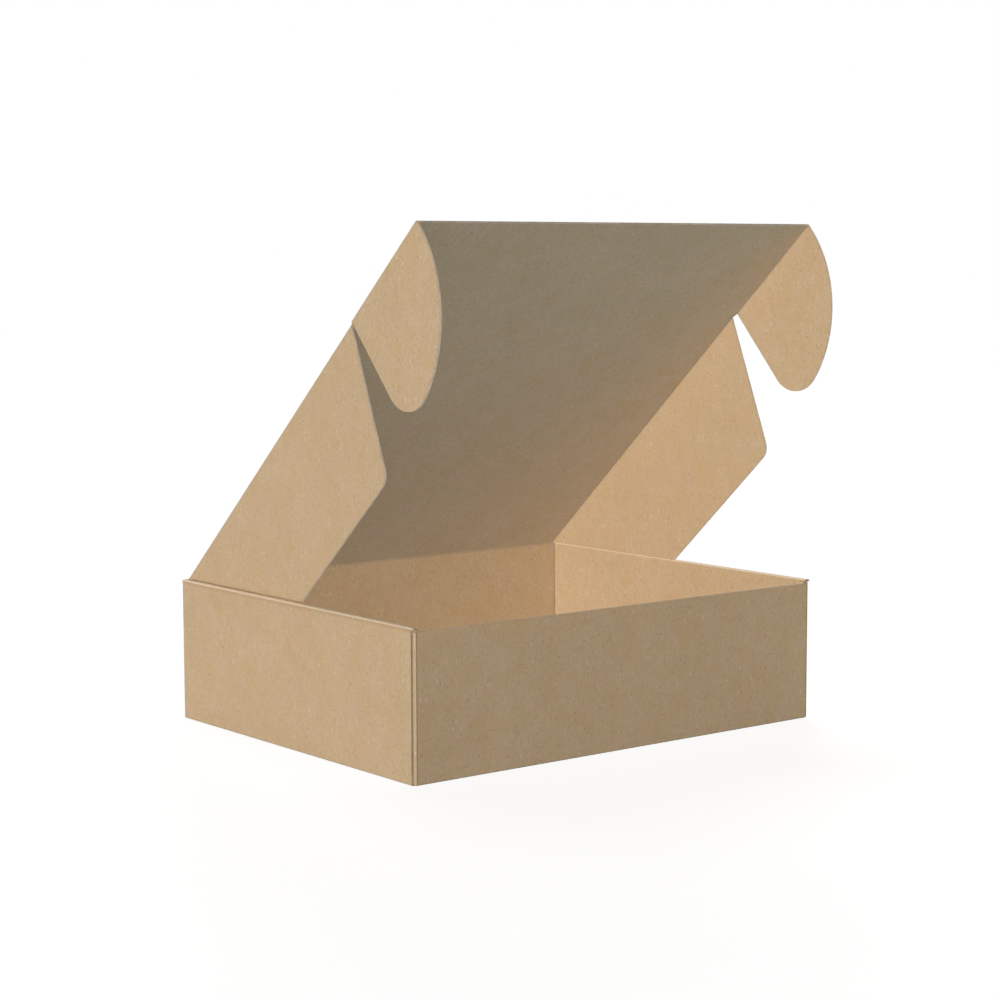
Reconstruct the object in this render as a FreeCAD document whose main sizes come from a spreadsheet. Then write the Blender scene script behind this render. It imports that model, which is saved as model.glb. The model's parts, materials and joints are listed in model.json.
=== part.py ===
import FreeCAD, Part
import Sketcher
import os

# A roll-end tuck-top mailer box of one folded sheet of board, its lid half open.
# Frame: millimetres, origin in the middle of the underside, front wall at -Y, lid hinged at +Y, +Z up.

SIZES = (
    ("outer_width", 350.0),
    ("outer_depth", 282.0),
    ("wall_height", 100.0),
    ("board", 1.5),
    ("layer_gap", 0.1),
    ("slide_gap", 0.15),
    ("crease_gap", 0.06),
    ("bend_radius", 1.2),
    ("side_setback", 2.4),
    ("cap_setback", 0.5),
    ("front_drop", 2.7),
    ("dust_length", 90.0),
    ("dust_lift", 0.3),
    ("dust_taper", 4.0),
    ("dust_corner", 6.0),
    ("inner_lift", 0.2),
    ("inner_taper", 0.8),
    ("tab_length", 36.0),
    ("tab_offset", 70.0),
    ("tab_play", 0.2),
    ("lid_angle", 41.8),
    ("tuck_play", 0.3),
    ("tuck_length", 97.0),
    ("wing_depth", 97.5),
    ("wing_rear_gap", 0.54),
    ("wing_rear_slope", 41.8),
    ("wing_rear_corner", 4.0),
    ("wing_front_gap", 0.3),
    ("wing_front_slope", 20.2),
    ("wing_front_corner", 10.5),
    ("ear_start", 2.8),
    ("ear_reach", 87.0),
    ("ear_bulge", 30.0),
    ("ear_shoulder", 23.3),
)

doc = FreeCAD.newDocument("mailer_box")
sheet = doc.addObject("Spreadsheet::Sheet", "sizes")
for row, (name, value) in enumerate(SIZES, start=1):
    sheet.set(f"A{row}", name)
    sheet.set(f"B{row}", str(value))
    sheet.setAlias(f"B{row}", name)
doc.recompute()


def size(text):
    """A formula in the sheet's own names, such as board * 2, as an expression of the document."""
    for name, _ in sorted(SIZES, key=lambda cell: -len(cell[0])):
        text = text.replace(name, "sizes." + name)
    return text


def value(expression):
    """The number that an expression gives now."""
    return float(sheet.evalExpression(expression))


# Planes of the layers, outward from the middle of the box.
HALF_WIDTH = size("(outer_width / 2)")
HALF_DEPTH = size("(outer_depth / 2)")
OUTER_FACE_IN = size("(outer_width / 2 - board)")
DUST_OUT = size("(outer_width / 2 - board - layer_gap)")
DUST_IN = size("(outer_width / 2 - 2 * board - layer_gap)")
ROLL_OUT = size("(outer_width / 2 - 2 * board - 2 * layer_gap)")
ROLL_IN = size("(outer_width / 2 - 3 * board - 2 * layer_gap)")
TUCK_HALF = size("(outer_width / 2 - 3 * board - 2 * layer_gap - slide_gap)")
LID_HALF = size("(outer_width / 2 - 4 * board - 2 * layer_gap - 2 * slide_gap)")
LID_LENGTH = size("(outer_depth - board - tuck_play)")
BOARD = size("board")
GAP = size("crease_gap")


def make_body(name):
    body = doc.addObject("PartDesign::Body", name)
    body.Label = name
    return body


def origin_plane(body, role):
    return [item for item in body.Origin.OriginFeatures if item.Role == role][0]


def make_sketch(body, name, plane, offset="0"):
    """A sketch on one of the body's own origin planes, moved along the plane's normal by offset."""
    sketch = body.newObject("Sketcher::SketchObject", name)
    sketch.AttachmentSupport = [(origin_plane(body, plane), "")]
    sketch.MapMode = "FlatFace"
    if offset != "0":
        sketch.setExpression("AttachmentOffset.Base.z", offset)
    return sketch


def pin(sketch, geometry, end, x, y):
    """Ties a point of the sketch to its two coordinates, given as expressions."""
    for kind, coordinate in (("DistanceX", x), ("DistanceY", y)):
        rule = Sketcher.Constraint(kind, -1, 1, geometry, end, value(coordinate))
        number = sketch.addConstraint(rule)
        sketch.setExpression(f"Constraints[{number}]", coordinate)


def draw(sketch, corners):
    """A closed outline. A corner is (x, y), or (x, y, mid x, mid y) where an arc leads to it."""
    points = [FreeCAD.Vector(value(corner[0]), value(corner[1]), 0) for corner in corners]
    first = sketch.GeometryCount
    turned = []
    for index, corner in enumerate(corners):
        start = points[index - 1]
        end = points[index]
        backwards = False
        if len(corner) == 4:
            middle = FreeCAD.Vector(value(corner[2]), value(corner[3]), 0)
            # An arc runs anticlockwise, so it may have to be drawn from its far end
            backwards = (middle - start).cross(end - middle).z < 0
            if backwards:
                start, end = end, start
            sketch.addGeometry(Part.Arc(start, middle, end), False)
        else:
            sketch.addGeometry(Part.LineSegment(start, end), False)
        turned.append(backwards)
    for index, corner in enumerate(corners):
        following = (index + 1) % len(corners)
        far = 1 if turned[index] else 2
        near = 2 if turned[following] else 1
        joined = Sketcher.Constraint("Coincident", first + index, far, first + following, near)
        sketch.addConstraint(joined)
        pin(sketch, first + index, far, corner[0], corner[1])
    for index, corner in enumerate(corners):
        if len(corner) == 4:
            middle = FreeCAD.Vector(value(corner[2]), value(corner[3]), 0)
            point = sketch.addGeometry(Part.Point(middle), True)
            sketch.addConstraint(Sketcher.Constraint("PointOnObject", point, 1, first + index))
            pin(sketch, point, 1, corner[2], corner[3])


def rectangle(sketch, x0, x1, y0, y1):
    draw(sketch, [(x0, y0), (x1, y0), (x1, y1), (x0, y1)])


def pad(body, sketch, name, length, side="One side", reverse=False, taper=0):
    feature = body.newObject("PartDesign::Pad", name)
    feature.Profile = sketch
    feature.setExpression("Length", length)
    feature.SideType = side
    feature.Reversed = reverse
    feature.TaperAngle = taper
    body.Tip = feature
    doc.recompute()
    return feature


def cut_through(body, sketch, name):
    """Cuts the sketch's outline out of the whole body, to both sides of the sketch."""
    before = body.Shape.Volume
    feature = body.newObject("PartDesign::Pocket", name)
    feature.Profile = sketch
    feature.SideType = "Symmetric"
    feature.Type = "ThroughAll"
    body.Tip = feature
    doc.recompute()
    if not body.Shape.Volume < before:
        raise RuntimeError(f"{name} cuts nothing")
    return feature


def mirror(body, name, features, plane):
    feature = body.newObject("PartDesign::Mirrored", name)
    feature.Originals = features
    feature.MirrorPlane = (origin_plane(body, plane), [""])
    body.Tip = feature
    doc.recompute()
    return feature


def edges_along(body, direction, spots):
    """Names of the straight edges along a direction whose line passes through one of the spots."""
    names = []
    for number, edge in enumerate(body.Shape.Edges, start=1):
        if edge.Curve.TypeId != "Part::GeomLine":
            continue
        if abs(edge.Curve.Direction.dot(direction)) < 0.999999:
            continue
        for spot in spots:
            apart = edge.CenterOfMass - spot
            across = apart - direction * apart.dot(direction)
            if across.Length < 0.001:
                names.append(f"Edge{number}")
    return names


def fillet(body, name, direction, spots, radius):
    base = body.Tip
    edges = edges_along(body, direction, spots)
    feature = body.newObject("PartDesign::Fillet", name)
    feature.Base = (base, edges)
    feature.setExpression("Radius", radius)
    body.Tip = feature
    doc.recompute()
    return feature


def spot(x, y, z):
    """A point given by three expressions, in the body's own frame."""
    return FreeCAD.Vector(value(x), value(y), value(z))


ALONG_X = FreeCAD.Vector(1, 0, 0)
ALONG_Y = FreeCAD.Vector(0, 1, 0)
ALONG_Z = FreeCAD.Vector(0, 0, 1)

# Tray: bottom, front and back walls with their dust flaps, and the rolled-over side walls.
# It is one folded sheet. Every size comes from the sheet of sizes.

tray = make_body("tray")
SIDE_END = size("(outer_depth / 2 - side_setback)")
WALL_IN = size("(outer_depth / 2 - board)")
ROLL_END = size("(outer_depth / 2 - board - layer_gap)")
FRONT_TOP = size("(wall_height - front_drop)")
BACK_TOP = size("(wall_height - crease_gap)")

# Bottom panel, stepped in at the corners where the front and back walls' dust flaps leave it
outline = make_sketch(tray, "bottom_outline", "XY_Plane")
draw(outline, [
    (HALF_WIDTH, f"-1 * {SIDE_END}"),
    (HALF_WIDTH, SIDE_END),
    (DUST_OUT, SIDE_END),
    (DUST_OUT, HALF_DEPTH),
    (f"-1 * {DUST_OUT}", HALF_DEPTH),
    (f"-1 * {DUST_OUT}", SIDE_END),
    (f"-1 * {HALF_WIDTH}", SIDE_END),
    (f"-1 * {HALF_WIDTH}", f"-1 * {SIDE_END}"),
    (f"-1 * {DUST_OUT}", f"-1 * {SIDE_END}"),
    (f"-1 * {DUST_OUT}", f"-1 * {HALF_DEPTH}"),
    (DUST_OUT, f"-1 * {HALF_DEPTH}"),
    (DUST_OUT, f"-1 * {SIDE_END}"),
])
pad(tray, outline, "bottom_panel", BOARD)

# Four slots that take the locking tabs of the inner side panels
TAB_START = size("(tab_offset - tab_length / 2)")
TAB_END = size("(tab_offset + tab_length / 2)")
slots = make_sketch(tray, "slot_outline", "XY_Plane")
for side in ("", "-1 * "):
    for end in ("", "-1 * "):
        rectangle(
            slots,
            side + size("(outer_width / 2 - 3 * board - 2 * layer_gap - tab_play)"),
            side + size("(outer_width / 2 - 2 * board - 2 * layer_gap + tab_play)"),
            end + size("(tab_offset - tab_length / 2 - tab_play)"),
            end + size("(tab_offset + tab_length / 2 + tab_play)"),
        )
cut_through(tray, slots, "tab_slots")

# Front wall, its raw top edge a little below the rims
outline = make_sketch(tray, "front_outline", "XY_Plane")
rectangle(outline, f"-1 * {DUST_OUT}", DUST_OUT, f"-1 * {HALF_DEPTH}", f"-1 * {WALL_IN}")
pad(tray, outline, "front_wall", FRONT_TOP)

# Back wall, up to the crease of the lid, mitred inside so that the lid can fold over it
outline = make_sketch(tray, "back_outline", "XY_Plane")
rectangle(outline, f"-1 * {DUST_OUT}", DUST_OUT, WALL_IN, HALF_DEPTH)
pad(tray, outline, "back_wall", BACK_TOP)
mitre = make_sketch(tray, "back_mitre_outline", "YZ_Plane")
draw(mitre, [
    (HALF_DEPTH, BACK_TOP),
    (WALL_IN, BACK_TOP),
    (WALL_IN, size("(wall_height - crease_gap - board)")),
])
cut_through(tray, mitre, "back_mitre")

# Side walls rolled over: outer panel, cap over the rim, inner panel down to the bottom
outer_side = make_sketch(tray, "outer_side_outline", "XZ_Plane")
rectangle(outer_side, OUTER_FACE_IN, HALF_WIDTH, "0", size("(wall_height)"))
outer_panel = pad(tray, outer_side, "outer_side_panel", f"2 * {SIDE_END}", side="Symmetric")
cap_outline = make_sketch(tray, "cap_outline", "XY_Plane", size("(wall_height)"))
rectangle(
    cap_outline,
    ROLL_IN,
    HALF_WIDTH,
    size("(cap_setback - outer_depth / 2)"),
    ROLL_END,
)
cap = pad(tray, cap_outline, "side_cap", BOARD, reverse=True)

# Inner panel, narrowed a little downwards so that it rolls in, with two locking tabs below
LOW_EDGE = size("(board + inner_lift)")
LOW_END = size("(outer_depth / 2 - board - layer_gap - inner_taper)")
half = [
    (LOW_END, LOW_EDGE),
    (TAB_END, LOW_EDGE),
    (TAB_END, "0"),
    (TAB_START, "0"),
    (TAB_START, LOW_EDGE),
]
panel_outline = [(ROLL_END, size("(wall_height - board)"))] + half
panel_outline += [(f"-1 * {y}", z) for y, z in reversed(half)]
panel_outline += [(f"-1 * {ROLL_END}", size("(wall_height - board)"))]
inner_side = make_sketch(tray, "inner_side_outline", "YZ_Plane", ROLL_IN)
draw(inner_side, panel_outline)
inner_panel = pad(tray, inner_side, "inner_side_panel", BOARD)

# Dust flaps: the ends of the front and back walls, held between the two layers of each side wall
DUST_LOW = size("(board + dust_lift)")
DUST_LOW_CORNER = size("(board + dust_lift + dust_taper)")
DUST_TOP_CORNER = size("(wall_height - front_drop - dust_taper)")
DUST_END = size("(outer_depth / 2 - dust_length)")
dust_side = make_sketch(tray, "dust_outline", "YZ_Plane", DUST_IN)
for end in ("", "-1 * "):
    draw(dust_side, [
        (end + HALF_DEPTH, DUST_LOW),
        (end + HALF_DEPTH, FRONT_TOP),
        (end + WALL_IN, FRONT_TOP),
        (end + DUST_END, DUST_TOP_CORNER),
        (end + DUST_END, DUST_LOW_CORNER),
        (end + WALL_IN, DUST_LOW),
    ])
dust_flaps = pad(tray, dust_side, "dust_flaps", BOARD)
mirror(tray, "left_side", [outer_panel, cap, inner_panel, dust_flaps], "YZ_Plane")

# Rounded corners of the dust flaps, then the bends: rims, ends of the front and back walls, bottom
SIDES = ("", "-1 * ")
fillet(
    tray,
    "dust_flap_corners",
    ALONG_X,
    [spot("0", end + DUST_END, z) for end in SIDES for z in (DUST_LOW_CORNER, DUST_TOP_CORNER)],
    size("dust_corner"),
)
fillet(
    tray,
    "rim_bends",
    ALONG_Y,
    [spot(side + x, "0", size("(wall_height)")) for side in SIDES for x in (HALF_WIDTH, ROLL_IN)],
    size("bend_radius"),
)
fillet(
    tray,
    "corner_bends",
    ALONG_Z,
    [spot(side + DUST_OUT, end + HALF_DEPTH, "0") for side in SIDES for end in SIDES],
    size("bend_radius"),
)
fillet(
    tray,
    "bottom_side_bends",
    ALONG_Y,
    [spot(side + HALF_WIDTH, "0", "0") for side in SIDES],
    size("bend_radius"),
)
fillet(
    tray,
    "bottom_end_bends",
    ALONG_X,
    [spot("0", end + HALF_DEPTH, "0") for end in SIDES],
    size("bend_radius"),
)

# Lid panel. In the frames of the lid and its flaps the outer face is the plane Z = 0, the board
# lies below it, Y runs away from the hinge, and each crease's pivot line is on the outer face.
# Two panels that meet at a crease are both mitred there, so they fold up to a right angle.

lid = make_body("lid")
outline = make_sketch(lid, "lid_outline", "XY_Plane")
rectangle(
    outline,
    f"-1 * ({LID_HALF} - {GAP})",
    f"({LID_HALF} - {GAP})",
    GAP,
    f"({LID_LENGTH} - {GAP})",
)
pad(lid, outline, "lid_panel", BOARD, reverse=True, taper=-45)
lid.setExpression(
    "Placement",
    f"placement(vector(0; {HALF_DEPTH}; {size('wall_height')}); rotation(vector(0; 0; 1); 180))"
    f" * placement(vector(0; 0; 0); rotation(vector(1; 0; 0); {size('lid_angle')}))",
)
doc.recompute()

# Tuck flap, in line with the lid, mitred at the lid's crease and at both ears' creases
tuck = make_body("tuck_flap")
TUCK_LENGTH = size("tuck_length")
EAR_START = size("ear_start")
outline = make_sketch(tuck, "tuck_outline", "XY_Plane")
draw(outline, [
    (LID_HALF, GAP),
    (f"({TUCK_HALF} - {GAP})", EAR_START),
    (f"({TUCK_HALF} - {GAP})", TUCK_LENGTH),
    (f"-1 * ({TUCK_HALF} - {GAP})", TUCK_LENGTH),
    (f"-1 * ({TUCK_HALF} - {GAP})", EAR_START),
    (f"-1 * {LID_HALF}", GAP),
])
pad(tuck, outline, "tuck_panel", BOARD, reverse=True)
mitre = make_sketch(tuck, "lid_mitre_outline", "YZ_Plane")
draw(mitre, [(GAP, "0"), (f"({GAP} + {BOARD})", f"-1 * {BOARD}"), (GAP, f"-1 * {BOARD}")])
cut_through(tuck, mitre, "lid_mitre")
mitre = make_sketch(tuck, "ear_mitre_outline", "XZ_Plane")
for side in SIDES:
    draw(mitre, [
        (f"{side}({TUCK_HALF} - {GAP})", "0"),
        (f"{side}({TUCK_HALF} - {GAP} - {BOARD})", f"-1 * {BOARD}"),
        (f"{side}({TUCK_HALF} - {GAP})", f"-1 * {BOARD}"),
    ])
cut_through(tuck, mitre, "ear_mitres")
tuck.setExpression(
    "Placement",
    f"lid.Placement * placement(vector(0; {LID_LENGTH}; 0); rotation(vector(1; 0; 0); 0))",
)
doc.recompute()


def folded_flap(name, parent, side, crease, outline, corners):
    """A flap folded down by a right angle at its parent's side crease, mitred along that crease.

    In its own frame the crease is the Y axis and the flap reaches outwards: towards +X where
    side is 1, and towards -X where it is -1. corners lists (x, y, radius) of rounded corners.
    """
    body = make_body(name)
    face = make_sketch(body, name + "_outline", "XY_Plane")
    draw(face, [tuple(mirrored(corner, side)) for corner in outline])
    pad(body, face, name + "_panel", BOARD, reverse=True)
    for number, (x, y, radius) in enumerate(corners, start=1):
        fillet(body, f"{name}_corner_{number}", ALONG_Z, [spot(f"{side} * {x}", y, "0")], radius)
    mitre = make_sketch(body, name + "_mitre_outline", "XZ_Plane")
    draw(mitre, [
        (f"{side} * {GAP}", "0"),
        (f"{side} * ({GAP} + {BOARD})", f"-1 * {BOARD}"),
        (f"{side} * {GAP}", f"-1 * {BOARD}"),
    ])
    cut_through(body, mitre, name + "_mitre")
    body.setExpression(
        "Placement",
        f"{parent.Name}.Placement"
        f" * placement(vector({side} * {crease}; 0; 0); rotation(vector(0; 1; 0); {side} * 90))",
    )
    doc.recompute()
    return body


def mirrored(corner, side):
    """The corner with its x coordinates turned to the given side."""
    return [f"{side} * {c}" if index % 2 == 0 else c for index, c in enumerate(corner)]


# Side flap of the lid: its front edge slopes back, and its rear edge rests just over the rim
WING_DEPTH = size("wing_depth")
WING_FRONT = size("(outer_depth - 2 * board - tuck_play - wing_front_gap)")
WING_SLANT = size("(wing_depth * tan(wing_front_slope))")
WING_REAR = size("((wing_depth + wing_rear_gap) / tan(wing_rear_slope))")
WING_ROOT = size("((crease_gap + wing_rear_gap) / tan(wing_rear_slope))")
WING = [
    (GAP, WING_FRONT),
    (WING_DEPTH, f"({WING_FRONT} - {WING_SLANT})"),
    (WING_DEPTH, WING_REAR),
    (GAP, WING_ROOT),
]
WING_CORNERS = [
    (WING_DEPTH, f"({WING_FRONT} - {WING_SLANT})", size("wing_front_corner")),
    (WING_DEPTH, WING_REAR, size("wing_rear_corner")),
]

# Ear of the tuck flap: straight lower edge, round shoulder, then one long arc to the free edge
EAR_REACH = size("ear_reach")
EAR_CHORD = size("sqrt(ear_reach ^ 2 + (tuck_length - ear_start) ^ 2)")
EAR = [
    (GAP, EAR_START),
    (EAR_REACH, EAR_START),
    (
        GAP,
        TUCK_LENGTH,
        f"(0.5 * {EAR_REACH} + {size('ear_bulge')} * ({TUCK_LENGTH} - {EAR_START}) / {EAR_CHORD})",
        f"(0.5 * ({EAR_START} + {TUCK_LENGTH}) + {size('ear_bulge')} * {EAR_REACH} / {EAR_CHORD})",
    ),
]
EAR_CORNERS = [(EAR_REACH, EAR_START, size("ear_shoulder"))]

bodies = [tray, lid, tuck]
for name, side in (("left", 1), ("right", -1)):
    bodies.append(folded_flap(f"{name}_side_flap", lid, side, LID_HALF, WING, WING_CORNERS))
    bodies.append(folded_flap(f"{name}_ear", tuck, side, TUCK_HALF, EAR, EAR_CORNERS))

doc.recompute()
for item in doc.Objects:
    if {"Invalid", "Error"} & set(item.State):
        raise RuntimeError(f"{item.Label} failed: {item.State}")
for body in bodies:
    if body.Shape.isNull() or not body.Shape.isValid() or len(body.Shape.Solids) != 1:
        raise RuntimeError(f"{body.Label} is not one valid solid")

os.makedirs("parts", exist_ok=True)
for body in bodies:
    body.Shape.exportStep(f"parts/{body.Label}.step")
    print(f"{body.Label}: {body.Shape.Volume / 1000:.1f} cm3")
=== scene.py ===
import json
import math

import bmesh
import bpy
from mathutils import Matrix, Vector


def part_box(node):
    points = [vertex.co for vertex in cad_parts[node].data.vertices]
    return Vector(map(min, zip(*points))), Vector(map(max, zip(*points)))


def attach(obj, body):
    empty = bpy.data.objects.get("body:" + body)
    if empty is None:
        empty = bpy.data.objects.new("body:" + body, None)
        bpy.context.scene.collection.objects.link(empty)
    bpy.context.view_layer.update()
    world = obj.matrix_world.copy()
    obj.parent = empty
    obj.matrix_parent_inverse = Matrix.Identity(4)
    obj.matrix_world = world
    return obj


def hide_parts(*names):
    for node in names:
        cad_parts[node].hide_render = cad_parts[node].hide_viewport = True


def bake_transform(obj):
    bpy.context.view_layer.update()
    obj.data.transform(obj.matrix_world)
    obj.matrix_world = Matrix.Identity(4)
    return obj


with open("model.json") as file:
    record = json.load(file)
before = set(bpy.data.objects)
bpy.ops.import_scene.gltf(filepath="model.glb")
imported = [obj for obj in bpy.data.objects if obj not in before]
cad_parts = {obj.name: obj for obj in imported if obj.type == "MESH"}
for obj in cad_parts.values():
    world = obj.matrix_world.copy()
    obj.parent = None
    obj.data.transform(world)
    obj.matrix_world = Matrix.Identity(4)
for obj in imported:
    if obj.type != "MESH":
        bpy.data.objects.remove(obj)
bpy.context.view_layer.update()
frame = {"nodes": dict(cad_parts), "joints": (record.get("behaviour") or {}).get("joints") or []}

bpy.context.scene.view_settings.view_transform = "Standard"

# The box's own sizes, in metres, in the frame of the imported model
TRAY_LOW, TRAY_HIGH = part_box("tray")
RIM_SIDE, RIM_REAR, RIM_TOP = TRAY_HIGH
BOARD = 0.0015
JOINTS = {joint["name"]: joint for joint in frame["joints"]}

# Colours as they look on a screen, from 0 to 255
KRAFT_BASE = (195, 171, 135)
FLECK = (224, 203, 174)
SPECK = (156, 118, 76)
# Painted shade and painted highlight on the rolled side walls of the tray
CORNER_SHADE = (134, 102, 72)
BEND_SHADE = (178, 136, 104)
RIM_HIGHLIGHT = (232, 214, 186)
EDGE_DARK = (188, 172, 152)
EDGE_LIGHT = (220, 206, 188)
# Painted shade where other surfaces stand close: flutes, gaps and corners
CREVICE_SHADE = (92, 70, 48)

# Bands of painted shade and highlight on the rolled side walls: how far in from an edge of the tray
# each fades in
REAR_BAND = (0.0012, 0.0005)
LINE_START = (0.0036, 0.0030)
LINE_END = (0.0026, 0.0022)
BEND_BAND = (0.0022, 0.0010)
TOP_BAND = (0.0010, 0.0004)
BEND_SHADE_BAND = (0.0034, 0.0020)
RIM_BAND = (0.0052, 0.0044)


class Nodes:
    """A small helper that adds and links the shader nodes of one material."""

    def __init__(self, name):
        self.material = bpy.data.materials.new(name)
        self.material.use_nodes = True
        self.tree = self.material.node_tree
        self.shader = self.tree.nodes["Principled BSDF"]

    def add(self, kind, **settings):
        node = self.tree.nodes.new(kind)
        for key, setting in settings.items():
            setattr(node, key, setting)
        return node

    def link(self, source, target):
        self.tree.links.new(source, target)

    def stretch(self, vector, scale):
        """The vector times a scale for each axis."""
        mapping = self.add("ShaderNodeMapping")
        mapping.inputs["Scale"].default_value = scale
        self.link(vector, mapping.inputs["Vector"])
        return mapping.outputs["Vector"]

    def noise(self, vector, scale, detail=2.0, roughness=0.5):
        node = self.add("ShaderNodeTexNoise")
        node.inputs["Scale"].default_value = scale
        node.inputs["Detail"].default_value = detail
        node.inputs["Roughness"].default_value = roughness
        self.link(vector, node.inputs["Vector"])
        return node.outputs["Fac"]

    def span(self, value, low, high, to_low=0.0, to_high=1.0):
        """The value from low to high, carried over to to_low and to_high, and held there beyond."""
        node = self.add("ShaderNodeMapRange")
        limits = {"From Min": low, "From Max": high, "To Min": to_low, "To Max": to_high}
        for key, number in limits.items():
            node.inputs[key].default_value = number
        self.link(value, node.inputs["Value"])
        return node.outputs["Result"]

    def band(self, value, edge, distances):
        """Fades in between two distances short of an edge."""
        return self.span(value, edge - distances[0], edge - distances[1])

    def mix(self, factor, first, second):
        """Blends two colours by a factor, each of the three a socket or a plain value."""
        node = self.add("ShaderNodeMix", data_type="RGBA")
        # Sockets of the mix node: 0 is the factor, 6 and 7 its colours, 2 the colour that comes out
        for key, source in ((0, factor), (6, first), (7, second)):
            if isinstance(source, (tuple, float)):
                node.inputs[key].default_value = source
            else:
                self.link(source, node.inputs[key])
        return node.outputs[2]

    def paint_crevice_shade(self, colour, distance, depth):
        """Painted shade: darkens a colour where other surfaces stand close to it, as in flutes, gaps
        and corners.
        """
        node = self.add("ShaderNodeAmbientOcclusion", samples=8)
        node.inputs["Distance"].default_value = distance
        closed = self.span(node.outputs["AO"], 0.0, 1.0, depth, 0.0)
        return self.mix(closed, colour, shade(*CREVICE_SHADE))

    def math(self, operation, first, second=0.0):
        node = self.add("ShaderNodeMath", operation=operation)
        for index, source in enumerate((first, second)):
            if isinstance(source, float):
                node.inputs[index].default_value = source
            else:
                self.link(source, node.inputs[index])
        return node.outputs[0]

    def relief(self, height, strength, distance):
        """A fine bump of the surface."""
        bump = self.add("ShaderNodeBump")
        bump.inputs["Strength"].default_value = strength
        bump.inputs["Distance"].default_value = distance
        self.link(height, bump.inputs["Height"])
        self.link(bump.outputs["Normal"], self.shader.inputs["Normal"])


def shade(red, green, blue):
    """A colour given as it looks on a screen, from 0 to 255, as linear light."""
    screen = (red / 255, green / 255, blue / 255)
    linear = [c / 12.92 if c < 0.04045 else ((c + 0.055) / 1.055) ** 2.4 for c in screen]
    return (*linear, 1.0)


def specks(n, place, scale, stretch, size, spread, spots):
    """Scattered spots: size is the distance at which they fade out, spots how common they are."""
    cells = n.add("ShaderNodeTexVoronoi", feature="F1")
    cells.inputs["Scale"].default_value = scale
    n.link(n.stretch(place, stretch), cells.inputs["Vector"])
    chosen = n.noise(place, spread, detail=1.0)
    near = n.span(cells.outputs["Distance"], 0.10, size, 1.0, 0.0)
    return n.math("MULTIPLY", near, n.span(chosen, *spots))


def rolled_walls(n, place, colour, fibre):
    """Painted shade and highlight on the rolled side walls: dark lines by the corners, a darker band
    below the top bends and lighter tops.
    """
    across = n.add("ShaderNodeSeparateXYZ")
    n.link(place, across.inputs[0])
    aside = n.math("ABSOLUTE", across.outputs["X"])
    height = across.outputs["Z"]
    ahead = n.band(n.math("ABSOLUTE", across.outputs["Y"]), RIM_REAR, REAR_BAND)
    # Painted shade: a dark line by each corner of the side walls
    corner_shade = n.math(
        "SUBTRACT", n.band(aside, RIM_SIDE, LINE_START), n.band(aside, RIM_SIDE, LINE_END)
    )
    corner_shade = n.math("MULTIPLY", n.math("MULTIPLY", corner_shade, ahead), 0.55)
    colour = n.mix(corner_shade, colour, shade(*CORNER_SHADE))
    # Painted shade: a darker band just below the bend at the top of the side walls
    above = n.band(height, RIM_TOP, TOP_BAND)
    below = n.band(height, RIM_TOP, BEND_SHADE_BAND)
    bent = n.band(aside, RIM_SIDE, BEND_BAND)
    bend_shade = n.math("MULTIPLY", n.math("SUBTRACT", below, above), bent)
    colour = n.mix(n.math("MULTIPLY", bend_shade, 0.34), colour, shade(*BEND_SHADE))
    # Painted highlight: the tops and outer bends of the side walls are lighter
    rim = n.math("MULTIPLY", above, n.band(aside, RIM_SIDE, RIM_BAND))
    rim = n.math("MULTIPLY", rim, n.span(fibre, 0.2, 0.6, 0.70, 1.0))
    return n.mix(rim, colour, shade(*RIM_HIGHLIGHT))


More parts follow.
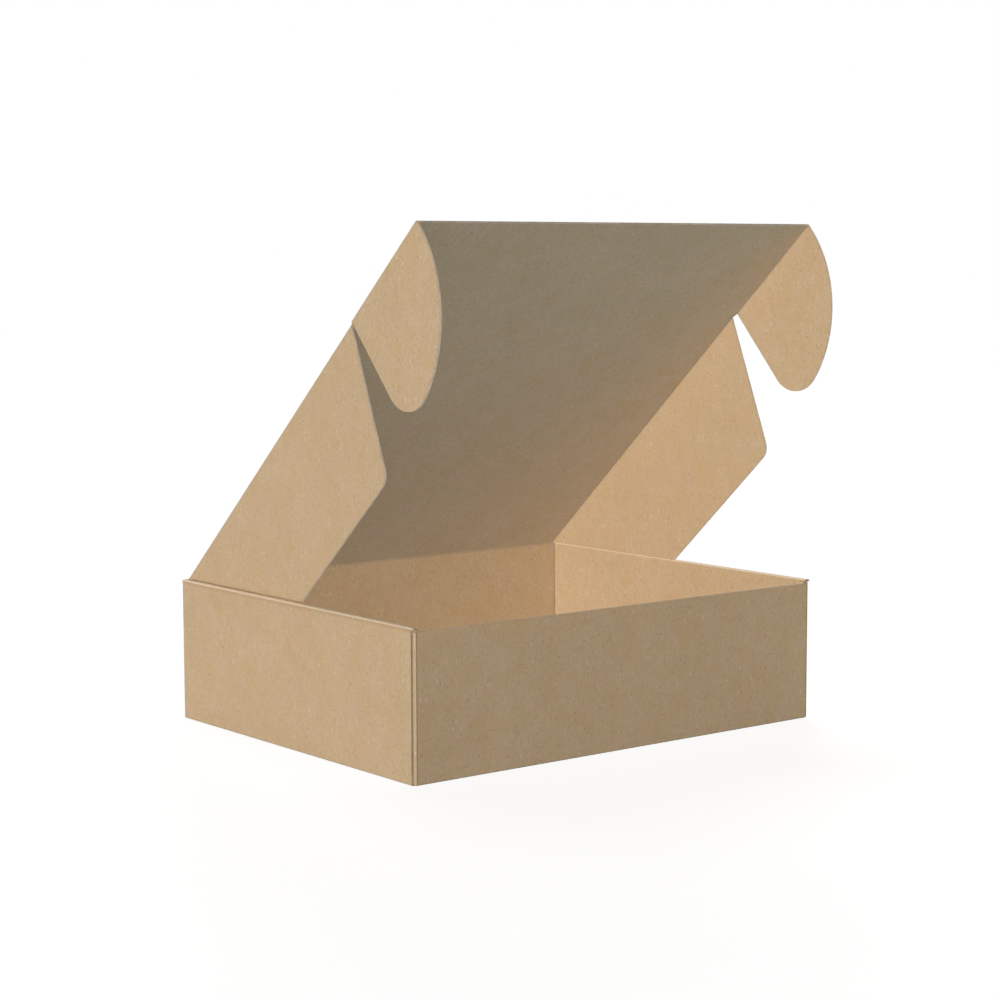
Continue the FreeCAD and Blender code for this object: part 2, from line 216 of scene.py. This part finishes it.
def kraft_liner(name, rims=False):
    """Unbleached kraft paper: fine fibres, soft clouds, yellow and pink casts, light and dark specks.

    rims adds the painted shade and highlight of the rolled side walls.
    """
    n = Nodes(name)
    place = n.add("ShaderNodeTexCoord").outputs["Object"]
    red, green, blue = KRAFT_BASE
    # Fibres lie mostly along the board's machine direction, which is upwards on the walls
    grain = n.noise(n.stretch(place, (1.0, 1.0, 0.80)), 820.0, detail=2.0, roughness=0.65)
    fibre = n.noise(n.stretch(place, (1.0, 0.9, 0.50)), 480.0, detail=3.0, roughness=0.65)
    cloud = n.noise(place, 95.0, detail=3.0, roughness=0.6)
    patch = n.noise(n.stretch(place, (1.0, 1.0, 0.6)), 22.0, detail=3.0, roughness=0.55)
    tone = n.span(grain, 0.25, 0.75, -0.75, 0.75)
    tone = n.math("ADD", tone, n.span(fibre, 0.25, 0.75, -0.45, 0.45))
    tone = n.math("ADD", tone, n.span(cloud, 0.3, 0.7, -0.24, 0.24))
    tone = n.math("ADD", tone, n.span(patch, 0.3, 0.7, -0.18, 0.18))
    dark = shade(red - 12, green - 14, blue - 17)
    light = shade(red + 12, green + 13, blue + 16)
    colour = n.mix(n.span(tone, -1.2, 1.2), dark, light)
    # Casts of the recycled fibres: yellower patches, and a few pinkish ones
    warm = n.noise(n.stretch(place, (1.0, 1.0, 0.7)), 70.0)
    yellowish = shade(red + 2, green - 8, blue - 20)
    colour = n.mix(n.span(warm, 0.48, 0.70, 0.0, 0.32), colour, yellowish)
    pink = n.noise(n.stretch(place, (0.9, 1.1, 0.8)), 110.0)
    pinkish = shade(red + 5, green - 4, blue + 8)
    colour = n.mix(n.span(pink, 0.50, 0.72, 0.0, 0.36), colour, pinkish)
    fleck = specks(n, place, 210.0, (1.0, 1.0, 0.6), 0.22, 160.0, (0.48, 0.58))
    colour = n.mix(n.math("MULTIPLY", fleck, 0.45), colour, shade(*FLECK))
    speck = specks(n, place, 260.0, (1.0, 1.0, 1.0), 0.24, 190.0, (0.45, 0.58))
    colour = n.mix(n.math("MULTIPLY", speck, 0.50), colour, shade(*SPECK))
    if rims:
        colour = rolled_walls(n, place, colour, fibre)
    # Painted shade: the paper is darkened where other surfaces stand close to it
    n.link(n.paint_crevice_shade(colour, distance=0.0014, depth=0.40), n.shader.inputs["Base Color"])
    n.shader.inputs["Roughness"].default_value = 0.86
    n.shader.inputs["Specular IOR Level"].default_value = 0.18
    n.shader.inputs["Sheen Weight"].default_value = 0.04
    n.shader.inputs["Sheen Roughness"].default_value = 0.6
    fuzz = n.math("ADD", n.span(grain, 0.3, 0.7), n.span(fibre, 0.3, 0.7))
    n.relief(fuzz, strength=0.16, distance=0.0004)
    return n.material


def raw_edge(name, reach=0.0010, depth=0.50):
    """The cut edge of the liners and the fluted layer: paler, greyer and fuzzier than the faces.

    reach and depth tell how far and how much painted shade darkens it where it is closed in.
    """
    n = Nodes(name)
    place = n.add("ShaderNodeTexCoord").outputs["Object"]
    fuzz = n.noise(place, 1400.0, detail=2.0, roughness=0.6)
    tone = n.span(n.math("ADD", fuzz, n.noise(place, 130.0)), 0.7, 1.3)
    colour = n.mix(tone, shade(*EDGE_DARK), shade(*EDGE_LIGHT))
    # Painted shade where the edge is closed in
    n.link(n.paint_crevice_shade(colour, reach, depth), n.shader.inputs["Base Color"])
    n.shader.inputs["Roughness"].default_value = 0.95
    n.shader.inputs["Specular IOR Level"].default_value = 0.1
    n.relief(fuzz, strength=0.3, distance=0.0002)
    return n.material


KRAFT = kraft_liner("kraft_liner")
# The tray's paper, with painted shade and highlight on its rolled side walls
KRAFT_TRAY = kraft_liner("kraft_liner_tray", rims=True)
RAW = raw_edge("raw_edge")
# Painted shade: cut edges deep in the flute hollows, corner slits and rim ends are painted much darker
HOLLOW_SHADE = raw_edge("flute_hollow_shade", reach=0.0040, depth=0.92)
# Places in a piece's list of materials: its faces, its cut edges, and what lies deep in it, darkened
# with painted shade
FACE, CUT, DEEP_SHADE = 0, 1, 2

for node in frame["nodes"].values():
    node.data.materials.clear()
    node.data.materials.append(KRAFT)

# Thin-fluted board: two liners with a wavy layer between them, its flutes running from front to back
LINER = 0.00022
MEDIUM = 0.00018
PITCH = 0.0032
STEPS = 8
# The part of a wave's length, at each end of a hollow, where the layer is stuck to its liner
CREST = 0.10
SWING = BOARD / 2 - LINER - MEDIUM / 2
OVERRUN = 0.010

# Tolerances: points that count as one, distances that count as none, cosines of square and aligned
SAME_POINT = 1e-6
SAME_PLACE = 2e-5
ACROSS = 0.1
ALIGNED = 0.99
SHARPEST_BEND = 0.5

# The creases: each panel stops a little short of the pivot line and is mitred inwards from there
GAP = 0.00006
INNER = GAP + BOARD
X, Y, Z = Vector((1, 0, 0)), Vector((0, 1, 0)), Vector((0, 0, 1))
HINGE = Vector(JOINTS["lid_hinge"]["pos_m"])
CREASE = Vector(JOINTS["tuck_flap_crease"]["pos_m"])
ALONG = (CREASE - HINGE).normalized()
INWARD = X.cross(ALONG).normalized()
LID_LENGTH = (CREASE - HINGE).length
LID_HALF = abs(JOINTS["left_side_flap_crease"]["pos_m"][0])
TUCK_HALF = abs(JOINTS["left_ear_crease"]["pos_m"][0])
TUCK_LENGTH = 0.0970
TUCK_SOLID = 0.004
EAR_START = 0.0028
WING_START = 0.0025


def axes(origin, across, along, outward):
    """The matrix from a panel's own frame, its outer face at Z = 0, to the row frame."""
    turn = Matrix((across, along, outward)).transposed().to_4x4()
    return Matrix.Translation(origin) @ turn


def add_prism(bm, ring, start, end, index):
    """A closed prism: a ring of (x, z) points carried along Y, with its place in the materials."""
    near = [bm.verts.new((x, start, z)) for x, z in ring]
    far = [bm.verts.new((x, end, z)) for x, z in ring]
    faces = [bm.faces.new(near), bm.faces.new(list(reversed(far)))]
    for i in range(len(ring)):
        j = (i + 1) % len(ring)
        faces.append(bm.faces.new((near[j], near[i], far[i], far[j])))
    for face in faces:
        face.material_index = index


def add_voids(bm, place, count, start, end, index=CUT):
    """The hollows above and below the wavy layer, for a number of flutes side by side."""
    part = bmesh.new()
    for k in range(count):
        for side, shift in ((1, 0.0), (-1, 0.5)):
            ring = []
            for step in range(STEPS + 1):
                phase = CREST + (1 - 2 * CREST) * step / STEPS
                wave = SWING * math.cos(2 * math.pi * phase) + MEDIUM / 2
                ring.append(((k + shift + phase) * PITCH, side * wave - BOARD / 2))
            for phase in (1 - CREST, CREST):
                level = side * (BOARD / 2 - LINER) - BOARD / 2
                ring.append(((k + shift + phase) * PITCH, level))
            add_prism(part, ring, start, end, index)
    part.transform(place)
    bmesh.ops.recalc_face_normals(part, faces=part.faces)
    mesh = bpy.data.meshes.new("voids")
    part.to_mesh(mesh)
    part.free()
    bm.from_mesh(mesh)
    bpy.data.meshes.remove(mesh)


def make_object(name, bm, papers=(KRAFT, RAW)):
    """A piece of the mesh, with the papers of its faces, its cut edges and, darkened with painted
    shade, what lies deep in it.
    """
    mesh = bpy.data.meshes.new(name)
    bm.to_mesh(mesh)
    bm.free()
    for paper in papers:
        mesh.materials.append(paper)
    made = bpy.data.objects.new(name, mesh)
    bpy.context.scene.collection.objects.link(made)
    return made


def soften(bm):
    """Smooth shading, broken at the edges that turn by more than the sharpest bend."""
    for face in bm.faces:
        face.smooth = True
    for edge in bm.edges:
        turned = edge.calc_face_angle(None) if len(edge.link_faces) == 2 else None
        edge.smooth = turned is not None and turned < SHARPEST_BEND


def cut_flutes(name, node, paper_of, voids, papers=(KRAFT, RAW)):
    """Replaces a node by a copy with open flutes. paper_of gives a face's place in the papers."""
    bm = bmesh.new()
    bm.from_mesh(frame["nodes"][node].data)
    bmesh.ops.remove_doubles(bm, verts=bm.verts, dist=SAME_POINT)
    bm.normal_update()
    for face in bm.faces:
        face.material_index = paper_of(face)
    whole = make_object(name + "_whole", bm, papers)
    tool = make_object(name + "_voids", voids, papers)
    cut = whole.modifiers.new("flutes", "BOOLEAN")
    cut.operation = "DIFFERENCE"
    cut.solver = "EXACT"
    cut.material_mode = "INDEX"
    cut.object = tool
    shapes = bpy.context.evaluated_depsgraph_get()
    bm = bmesh.new()
    bm.from_object(whole, shapes)
    for used in (whole, tool):
        bpy.data.objects.remove(used)
    soften(bm)
    piece = make_object(name, bm, papers)
    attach(piece, node)
    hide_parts(node)


def flap_edge(place):
    """Finds the cut edges of a flat panel: square to its faces, and neither face nor mitre."""
    outward = place.to_3x3() @ Z
    return lambda face: CUT if abs(face.normal.dot(outward)) < ACROSS else FACE


# Tuck flap: flutes from just past the lid's crease to the free edge
place = axes(CREASE - X * (TUCK_HALF - 2 * INNER), X, ALONG, -INWARD)
count = int((2 * TUCK_HALF - 4 * INNER) / PITCH)
voids = bmesh.new()
add_voids(voids, place, count, TUCK_SOLID, TUCK_LENGTH + OVERRUN)
cut_flutes("tuck_flap_board", "tuck_flap", flap_edge(place), voids)

# Side flaps and ears: flutes parallel to their creases, open at both ends
for side, sign in (("left", -1), ("right", 1)):
    for part in ("side_flap", "ear"):
        node = f"{side}_{part}"
        corner = Vector(JOINTS[node + "_crease"]["pos_m"])
        low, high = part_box(node)
        corners = [Vector((0, y, z)) for y in (low[1], high[1]) for z in (low[2], high[2])]
        reach = max(INWARD.dot(point - corner) for point in corners)
        place = axes(corner + INWARD * 1.5 * INNER, INWARD, ALONG, X * sign)
        count = int((reach - 2 * INNER) / PITCH)
        voids = bmesh.new()
        add_voids(voids, place, count, -LID_LENGTH, LID_LENGTH + OVERRUN)
        cut_flutes(node + "_board", node, flap_edge(place), voids)

# Tray: flutes upright in the front wall, lengthwise in the side walls
FRONT_TOP = 0.0973
SIDE_END = 0.1386
CAP_END = 0.1405
FRONT_FLUTES = 0.1680
FRONT_DEPTH = 0.008
RIM_INSET = 0.0004
RIM_DEPTH = 0.004


def tray_edge(face):
    """Finds the tray's cut edges: open on the front wall and the rims, and deep in the corner slits,
    which get painted shade.
    """
    centre = face.calc_center_median()
    if abs(face.normal.z) > ALIGNED:
        return CUT if abs(centre.z - FRONT_TOP) < SAME_PLACE else FACE
    if abs(face.normal.y) < ALIGNED:
        return FACE
    if abs(abs(centre.y) - SIDE_END) < SAME_PLACE:
        return DEEP_SHADE
    return CUT if abs(centre.y + CAP_END) < SAME_PLACE else FACE


voids = bmesh.new()
place = axes(Vector((-FRONT_FLUTES, TRAY_LOW[1], 0)), X, Z, -Y)
count = int(2 * FRONT_FLUTES / PITCH)
add_voids(voids, place, count, FRONT_TOP - FRONT_DEPTH, FRONT_TOP + OVERRUN)
for sign in (-1, 1):
    place = axes(Vector((sign * RIM_SIDE, 0, 1.5 * BOARD)), Z, Y, X * sign)
    count = int((FRONT_TOP - 2 * BOARD) / PITCH)
    # Painted shade: the side walls' hollows and the end hollows of the rolled tops get the darkened
    # cut edge
    add_voids(voids, place, count, -SIDE_END - OVERRUN, SIDE_END + OVERRUN, DEEP_SHADE)
    place = axes(Vector((sign * (RIM_SIDE - RIM_INSET), 0, RIM_TOP)), -X * sign, Y, Z)
    add_voids(voids, place, 1, -CAP_END - OVERRUN, -CAP_END + RIM_DEPTH, DEEP_SHADE)
cut_flutes("tray_board", "tray", tray_edge, voids, (KRAFT_TRAY, RAW, HOLLOW_SHADE))


def crease(name, pivot, run, leave, inward, ends, flat=False):
    """The board carried round a crease: it fills the wedge of two mitred panels.

    leave, inward and ends have one entry for each panel: the direction from the crease into the
    panel, its inner normal, and how far the piece reaches along the crease, as (low, high).
    """
    outer = [GAP * leave[k] for k in (0, 1)]
    inner = [INNER * leave[k] + BOARD * inward[k] for k in (0, 1)]
    arc = []
    for step in range(STEPS + 1):
        part = step / STEPS
        point = inner[0].lerp(inner[1], part)
        if not flat:
            point = point.normalized() * inner[0].length
        arc.append((point, part))
    section = [(outer[1], 1.0), (outer[0], 0.0)] + arc
    bm = bmesh.new()
    rings = []
    for end in (0, 1):
        ring = []
        for point, part in section:
            reach = ends[0][end] * (1 - part) + ends[1][end] * part
            ring.append(bm.verts.new(pivot + point + run * reach))
        rings.append(ring)
    caps = [bm.faces.new(rings[0]), bm.faces.new(list(reversed(rings[1])))]
    for cap in caps:
        cap.material_index = CUT
    for i in range(len(section)):
        j = (i + 1) % len(section)
        bm.faces.new((rings[0][j], rings[0][i], rings[1][i], rings[1][j]))
    bmesh.ops.recalc_face_normals(bm, faces=bm.faces)
    soften(bm)
    piece = make_object(name, bm)
    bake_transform(piece)


LID_INNER_ENDS = (INNER - LID_HALF, LID_HALF - INNER)
TUCK_INNER_ENDS = (INNER - TUCK_HALF, TUCK_HALF - INNER)
crease(
    "lid_hinge_crease", HINGE, X,
    (-Z, ALONG), (-Y, INWARD), (LID_INNER_ENDS, LID_INNER_ENDS),
)
crease(
    "tuck_flap_fold", CREASE, X,
    (-ALONG, ALONG), (INWARD, INWARD), (LID_INNER_ENDS, TUCK_INNER_ENDS), flat=True,
)
WING_ENDS = (WING_START, LID_LENGTH - WING_START)
EAR_ENDS = (EAR_START + GAP, TUCK_LENGTH - INNER)
for side, sign in (("left", -1), ("right", 1)):
    for part, base, ends in (("side_flap", "lid", WING_ENDS), ("ear", "tuck_flap", EAR_ENDS)):
        node = f"{side}_{part}"
        corner = Vector(JOINTS[node + "_crease"]["pos_m"])
        start = HINGE if part == "side_flap" else CREASE
        corner = Vector((corner.x, start.y, start.z))
        crease(
            node + "_fold", corner, ALONG,
            (-X * sign, INWARD), (INWARD, -X * sign), (ends, ends),
        )

# Fitted to the photograph's edges, for this box's own sizes
AZIMUTH = math.radians(38.151)
ELEVATION = math.radians(6.031)
ROLL = math.radians(-0.145)
FOCAL_PIXELS = 2307.988
DISTANCE = 1.659612
OFFSET_RIGHT = 0.003359
OFFSET_UP = 0.156172
FRAME_PIXELS = 1000.0
SENSOR = 36.0

forward = Vector((
    math.sin(AZIMUTH) * math.cos(ELEVATION),
    math.cos(AZIMUTH) * math.cos(ELEVATION),
    -math.sin(ELEVATION),
))
level = Vector((math.cos(AZIMUTH), -math.sin(AZIMUTH), 0.0))
upward = level.cross(forward)
right = level * math.cos(ROLL) + upward * math.sin(ROLL)
up = upward * math.cos(ROLL) - level * math.sin(ROLL)
camera = bpy.data.objects.new("camera", bpy.data.cameras.new("camera"))
bpy.context.scene.collection.objects.link(camera)
camera.data.sensor_width = SENSOR
camera.data.lens = FOCAL_PIXELS * SENSOR / FRAME_PIXELS
camera.data.clip_start = 0.05
camera.data.clip_end = 50.0
position = right * OFFSET_RIGHT + up * OFFSET_UP - forward * DISTANCE
turn = Matrix((right, up, -forward)).transposed().to_4x4()
camera.matrix_world = Matrix.Translation(position) @ turn
bpy.context.scene.camera = camera


# Lamps: name, azimuth (0 in front of the box, 90 on its left), elevation, colour times strength,
# spread in degrees, and whether it casts shadows
LAMPS = (
    ("key", 88.0, 10.0, (2.41, 2.34, 2.33), 12.0, False),
    ("front", 0.0, 18.0, (1.22, 1.06, 0.91), 12.0, False),
    ("low", 0.0, -60.0, (0.02, 0.35, 0.69), 12.0, False),
    ("back", -140.0, 25.0, (1.00, 1.00, 1.00), 20.0, True),
    ("top", 195.0, 62.0, (0.60, 0.60, 0.60), 24.0, True),
)
AMBIENT = (0.10, 0.10, 0.10)
FLOOR_GLOW = 0.83
FLOOR_SEEN = 0.30
FLOOR_BOUNCE = 0.50
FLOOR_HALF = 8.0
FLOOR_DROP = 0.0002


def add_lamp(name, azimuth, elevation, light, spread, casts):
    data = bpy.data.lights.new(name, "SUN")
    data.energy = max(light)
    data.color = [channel / max(light) for channel in light]
    data.angle = math.radians(spread)
    data.use_shadow = casts
    lamp = bpy.data.objects.new(name, data)
    bpy.context.scene.collection.objects.link(lamp)
    a, e = math.radians(azimuth), math.radians(elevation)
    towards = Vector((-math.sin(a) * math.cos(e), -math.cos(a) * math.cos(e), math.sin(e)))
    lamp.rotation_mode = "QUATERNION"
    lamp.rotation_quaternion = towards.to_track_quat("Z", "Y")


for lamp in LAMPS:
    add_lamp(*lamp)


def grey(level):
    return (level, level, level, 1.0)


def seen_rays(tree):
    """1 for rays from the camera, gloss and glass, which all show the same white, and 0 for others."""
    path = tree.nodes.new("ShaderNodeLightPath")
    total = path.outputs["Is Camera Ray"]
    for kind in ("Is Glossy Ray", "Is Transmission Ray"):
        larger = tree.nodes.new("ShaderNodeMath")
        larger.operation = "MAXIMUM"
        tree.links.new(total, larger.inputs[0])
        tree.links.new(path.outputs[kind], larger.inputs[1])
        total = larger.outputs[0]
    return total


def make_floor():
    """White to the camera, where part of the white is the lamps' own light, so a soft shadow shows."""
    mesh = bpy.data.meshes.new("floor")
    signs = ((-1, -1), (1, -1), (1, 1), (-1, 1))
    corners = [(x * FLOOR_HALF, y * FLOOR_HALF, 0) for x, y in signs]
    mesh.from_pydata(corners, [], [(0, 1, 2, 3)])
    floor = bpy.data.objects.new("floor", mesh)
    bpy.context.scene.collection.objects.link(floor)
    floor.location.z = -FLOOR_DROP
    n = Nodes("floor_white")
    n.tree.nodes.remove(n.shader)
    plain = n.add("ShaderNodeBsdfDiffuse")
    plain.inputs["Color"].default_value = grey(FLOOR_BOUNCE)
    seen = n.add("ShaderNodeBsdfDiffuse")
    seen.inputs["Color"].default_value = grey(FLOOR_SEEN)
    glow = n.add("ShaderNodeEmission")
    glow.inputs["Strength"].default_value = FLOOR_GLOW
    both = n.add("ShaderNodeAddShader")
    n.link(seen.outputs[0], both.inputs[0])
    n.link(glow.outputs[0], both.inputs[1])
    choice = n.add("ShaderNodeMixShader")
    n.link(seen_rays(n.tree), choice.inputs["Fac"])
    n.link(plain.outputs[0], choice.inputs[1])
    n.link(both.outputs[0], choice.inputs[2])
    n.link(choice.outputs[0], n.tree.nodes["Material Output"].inputs["Surface"])
    mesh.materials.append(n.material)


def make_world():
    """An even soft light all round, and plain white where the camera sees past the floor."""
    world = bpy.data.worlds.new("studio")
    bpy.context.scene.world = world
    world.use_nodes = True
    tree = world.node_tree
    tree.nodes.clear()
    shown = tree.nodes.new("ShaderNodeBackground")
    shown.inputs["Color"].default_value = grey(1.0)
    lit = tree.nodes.new("ShaderNodeBackground")
    lit.inputs["Color"].default_value = (*AMBIENT, 1.0)
    choice = tree.nodes.new("ShaderNodeMixShader")
    output = tree.nodes.new("ShaderNodeOutputWorld")
    tree.links.new(seen_rays(tree), choice.inputs["Fac"])
    tree.links.new(lit.outputs["Background"], choice.inputs[1])
    tree.links.new(shown.outputs["Background"], choice.inputs[2])
    tree.links.new(choice.outputs["Shader"], output.inputs["Surface"])


make_floor()
make_world()
